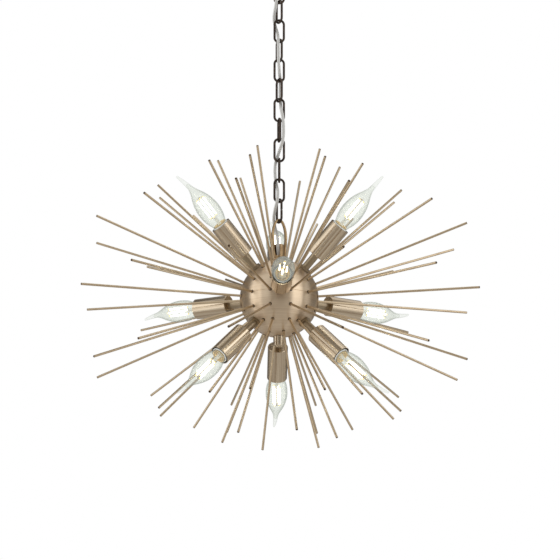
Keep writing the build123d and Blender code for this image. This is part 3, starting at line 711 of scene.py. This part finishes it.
def flex_piece(name, points):
    """One stretch of the flex: its flat side is kept facing the front."""
    outline = twin_section()
    count = len(outline)
    corners = []
    for index, point in enumerate(points):
        along = (points[min(index + 1, len(points) - 1)] - points[max(index - 1, 0)]).normalized()
        wide = (FLEX_WIDE - FLEX_WIDE.dot(along) * along).normalized()
        thick = along.cross(wide)
        corners += [point + across * wide + out * thick for across, out in outline]
    faces = []
    for ring in range(len(points) - 1):
        for side in range(count):
            start, after = ring * count + side, ring * count + (side + 1) % count
            faces.append((start, after, after + count, start + count))
    faces += [tuple(range(count))[::-1], tuple(range(len(corners) - count, len(corners)))]
    mesh = bpy.data.meshes.new(name)
    mesh.from_pydata(corners, [], faces)
    mesh.update()
    layer = mesh.uv_layers.new(name=FLEX_UV)
    for polygon in mesh.polygons:
        for loop in polygon.loop_indices:
            vertex = mesh.loops[loop].vertex_index
            layer.data[loop].uv = (vertex % count / count, vertex // count / len(points))
    piece = bpy.data.objects.new(name, mesh)
    bpy.context.scene.collection.objects.link(piece)
    deselect()
    piece.select_set(True)
    bpy.context.view_layer.objects.active = piece
    bpy.ops.object.mode_set(mode="EDIT")
    bpy.ops.mesh.select_all(action="SELECT")
    bpy.ops.mesh.normals_make_consistent(inside=False)
    bpy.ops.object.mode_set(mode="OBJECT")
    bpy.ops.object.shade_smooth_by_angle(angle=FLEX_SMOOTH)
    return piece


def make_flex(material):
    """Flex in one piece for each joint of the chain, cut halfway between two joints."""
    crowns = [LOWEST_CROWN + LINK_PITCH * number for number in reversed(range(LINK_COUNT))]
    crowns.insert(0, TOP_CROWN)
    points = flex_points()
    first = 0
    for number, crown in enumerate(crowns):
        last = len(points) - 1
        if number < len(crowns) - 1:
            cut = (crown + crowns[number + 1]) / 2
            last = next(index for index, point in enumerate(points) if point.z < cut)
        piece = painted(flex_piece(f"flex_{number + 1:02d}", points[first:last + 1]), material)
        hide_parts("flex")
        middle = points[(first + last) // 2]
        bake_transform(piece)
        first = last


def glass_rings():
    """Rings of the glass: down the inside from its end, round the foot and up to the tip."""
    outside = smooth_profile(GLASS_PROFILE, GLASS_STEPS)
    hollow = [(height, radius - GLASS_WALL) for height, radius in outside if height < HOLLOW_TOP]
    end = hollow[-1][0] + HOLLOW_END_RISE
    tip_height, tip_radius = GLASS_PROFILE[-1]
    rings = [(HOLLOW_END_RADIUS, end, tip_shift(end))]
    for height, radius in hollow[::-1] + outside:
        rings.append((radius, height, tip_shift(height)))
    for share, rise in TIP_ROUNDING:
        rings.append((tip_radius * share, tip_height + rise, tip_shift(tip_height)))
    return rings


def bulb_models():
    """Models of one bulb's pieces, standing on the cap's top with the lamp's axis as Z."""
    cap = list(CAP_CONTACT)
    for turn in range(CAP_THREAD_TURNS):
        foot = CAP_THREAD_START + CAP_THREAD_PITCH * turn
        cap += [(radius, foot + height) for radius, height in CAP_THREAD]
    cap += CAP_SKIRT
    return {
        "glass": turned("glass_model", glass_rings(), BULB_SIDES),
        "cap": turned("cap_model", straight(cap), BULB_SIDES),
        "stem": turned("stem_model", straight(STEM_PROFILE), STEM_SIDES),
        "flare": turned("flare_model", straight(FLARE_OUTLINE), BULB_SIDES, ring_shaped=True),
    }


def strut(name, start, end, radius):
    """Thin round wire with rounded ends between two points (mm)."""
    start, end = Vector(start), Vector(end)
    length = (end - start).length
    tip, rounding = radius * STRUT_END_RADIUS, radius * STRUT_END_LENGTH
    profile = ((tip, 0.0), (radius, rounding), (radius, length - rounding), (tip, length))
    wire = turned(name, straight(profile), STRUT_SIDES)
    turn = (end - start).to_track_quat("Z", "Y").to_matrix().to_4x4()
    wire.data.transform(Matrix.Translation(start * MM) @ turn)
    return wire


def filament_models():
    """Lit sticks, the yellow beads at their ends, and the wires that carry them."""
    sticks, beads, wires = [], [], []
    foot, top = FILAMENT_START, FILAMENT_START + FILAMENT_LENGTH
    for degrees in FILAMENT_ANGLES:
        angle = math.radians(degrees)
        x, y = FILAMENT_CIRCLE * math.cos(angle), FILAMENT_CIRCLE * math.sin(angle)
        low, high = foot + BEAD_INSIDE, top - BEAD_INSIDE
        sticks.append(strut("stick", (x, y, low), (x, y, high), FILAMENT_RADIUS))
        beads.append(strut("bead", (x, y, foot - BEAD_OUTSIDE), (x, y, low), BEAD_RADIUS))
        beads.append(strut("bead", (x, y, high), (x, y, top + BEAD_OUTSIDE), BEAD_RADIUS))
        gathered = (x * WIRE_GATHER, y * WIRE_GATHER, foot - WIRE_DROP)
        wires.append(strut("wire", (x, y, foot - WIRE_JOINT), gathered, WIRE_RADIUS))
        wires.append(strut("wire", (x, y, top + WIRE_JOINT), (0, 0, top + WIRE_RISE), WIRE_RADIUS))
    wires.append(strut("wire", (0, 0, foot - MAST_DROP), (0, 0, top + MAST_RISE), MAST_RADIUS))
    return {"sticks": joined("sticks_model", sticks), "beads": joined("beads_model", beads),
            "wires": joined("wires_model", wires)}


def holder_models():
    """Black lampholder in the sleeve, with black walls in its gaps as painted shade, its pale
    collar and the brass shell round the neck.
    """
    return {part: turned(part + "_model", straight(outline), HOLDER_SIDES, ring_shaped=True)
            for part, outline in HOLDER_OUTLINES.items()}


def make_lamps(finishes):
    """The nine lamps: bulbs that ride on their own bodies and holders that ride on the burst."""
    bulb = {**bulb_models(), **filament_models()}
    holder = holder_models()
    seat = Matrix.Translation((0, 0, BULB_SEAT * MM))
    for number, (azimuth, elevation) in enumerate(LAMPS, start=1):
        place = ray(azimuth, elevation, TIP_TURNS[number - 1])
        for models, node, body, shift in (
            (bulb, f"bulb_{number}", f"lamp_{number}", seat),
            (holder, f"lampholder_{number}", "burst", Matrix.Identity(4)),
        ):
            for part, model in models.items():
                finish, slot = LAMP_LOOKS[part]
                piece = painted(placed(model, f"{node}_{part}", place @ shift), finishes[finish])
                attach(piece, body)
                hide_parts(node)
    dropped(*bulb.values(), *holder.values())


def make_rod_shade_rings(material):
    """Dark chamfered ring round each rod where it enters the ball: painted shade at the edge of
    its hole.
    """
    outline = (
        (SHADE_RING_HOLE, SHADE_RING_BOTTOM), (SHADE_RING_RIM, SHADE_RING_BOTTOM), (SHADE_RING_RIM, BALL_RADIUS),
        (SHADE_RING_RIM - SHADE_RING_CHAMFER, SHADE_RING_TOP), (SHADE_RING_HOLE, SHADE_RING_TOP), (SHADE_RING_HOLE, SHADE_RING_BOTTOM),
    )
    model = turned("shade_ring_model", straight(outline), SHADE_RING_SIDES, ring_shaped=True)
    shade_rings = []
    for elevation, first, offsets in ROD_RINGS:
        for third in THIRDS:
            for offset in offsets:
                for side in (-offset, offset):
                    shade_rings.append(placed(model, "seat", ray(first + third + side, elevation)))
    dropped(model)
    piece = painted(joined("rod_shade_rings", shade_rings), material)
    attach(piece, "burst")


def paint_nodes(finishes):
    """Finishes of the solids that are shown as they are."""
    for name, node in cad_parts.items():
        if name.startswith("link_"):
            key = "dark"
        elif name.startswith("sleeve_"):
            key = name
        else:
            key = NODE_FINISHES.get(name)
        if key:
            if not node.material_slots:
                node.data.materials.append(None)
            for slot in node.material_slots:
                slot.link = "OBJECT"
                slot.material = finishes[key]


# Setting


def make_camera():
    """Camera of the photograph: a long lens from a little below, aimed at the ball."""
    away = Vector((math.sin(CAMERA_TURN) * math.cos(CAMERA_BELOW),
                   -math.cos(CAMERA_TURN) * math.cos(CAMERA_BELOW), -math.sin(CAMERA_BELOW)))
    lens = bpy.data.cameras.new("camera")
    lens.lens = CAMERA_LENS
    lens.sensor_width = CAMERA_SENSOR
    lens.shift_x, lens.shift_y = CAMERA_SHIFT
    camera = bpy.data.objects.new("camera", lens)
    bpy.context.scene.collection.objects.link(camera)
    camera.location = BALL + CAMERA_DISTANCE * away
    camera.rotation_euler = (-away).to_track_quat("-Z", "Y").to_euler()
    bpy.context.scene.camera = camera


def make_light():
    """White surroundings, which glossy rays see as a studio with bright sides, and soft lamps."""
    world = bpy.data.worlds.new("studio")
    bpy.context.scene.world = world
    world.use_nodes = True
    sky = Shading(world.node_tree)
    direction = sky.node("TexCoord", output="Generated")
    x, y, z = (sky.node("SeparateXYZ", values={"Vector": direction}, output=axis)
               for axis in range(3))
    aside = sky.node("Math", {"operation": "ABSOLUTE"}, {0: x})
    turn = sky.node("Math", {"operation": "ARCTAN2"}, {0: aside, 1: -1 * y})
    round_about = sky.node("ValToRGB", {"stops": STUDIO_ROUND}, {0: turn * (1 / math.pi)})
    rise = sky.node("ValToRGB", {"stops": STUDIO_RISE}, {0: sky.spread(z, low=-1.0, high=1.0)})
    studio = sky.mix(1.0, round_about, rise, blend="MULTIPLY")
    lit = sky.mix(sky.seen_by("Glossy"), WORLD_DIFFUSE, studio)
    backdrop = sky.spread(sky.seen_by("Camera") + sky.seen_by("Transmission"), low=0.0, high=1.0)
    background = sky.tree.nodes["Background"]
    plug(sky.tree, background.inputs["Color"], sky.mix(backdrop, lit, WORLD_WHITE))
    for name, place, size, power in SOFT_LAMPS:
        light = bpy.data.lights.new(name, "AREA")
        light.shape = "RECTANGLE"
        light.size, light.size_y = size
        light.energy = power
        lamp = bpy.data.objects.new(name, light)
        bpy.context.scene.collection.objects.link(lamp)
        lamp.location = BALL + Vector(place)
        lamp.rotation_euler = Vector(place).to_track_quat("Z", "Y").to_euler()


def make_floor():
    """Pale round floor far below the light, which the metal shows darker than it is."""
    deselect()
    bpy.ops.mesh.primitive_circle_add(vertices=FLOOR_SIDES, radius=FLOOR_RADIUS, fill_type="NGON")
    floor = bpy.context.object
    floor.name = "floor"
    floor.data.transform(Matrix.Translation((0, 0, BALL.z - FLOOR_DROP)))
    finish = Finish("pale_floor", Roughness=0.7)
    grain = finish.noise(finish.place, scale=6.0)
    pale = finish.mix(grain, *FLOOR_WHITE)
    finish.put(Base_Color=finish.mix(finish.seen_by("Glossy"), pale, FLOOR_IN_METAL))
    painted(floor, finish.material)


make_camera()
make_light()
make_floor()
finishes = make_finishes()
make_flex(finishes["flex"])
make_lamps(finishes)
# Dark rings at the rods' holes, as painted shade
make_rod_shade_rings(finishes["dark"])
paint_nodes(finishes)

view = bpy.context.scene.view_settings
view.view_transform = "Standard"
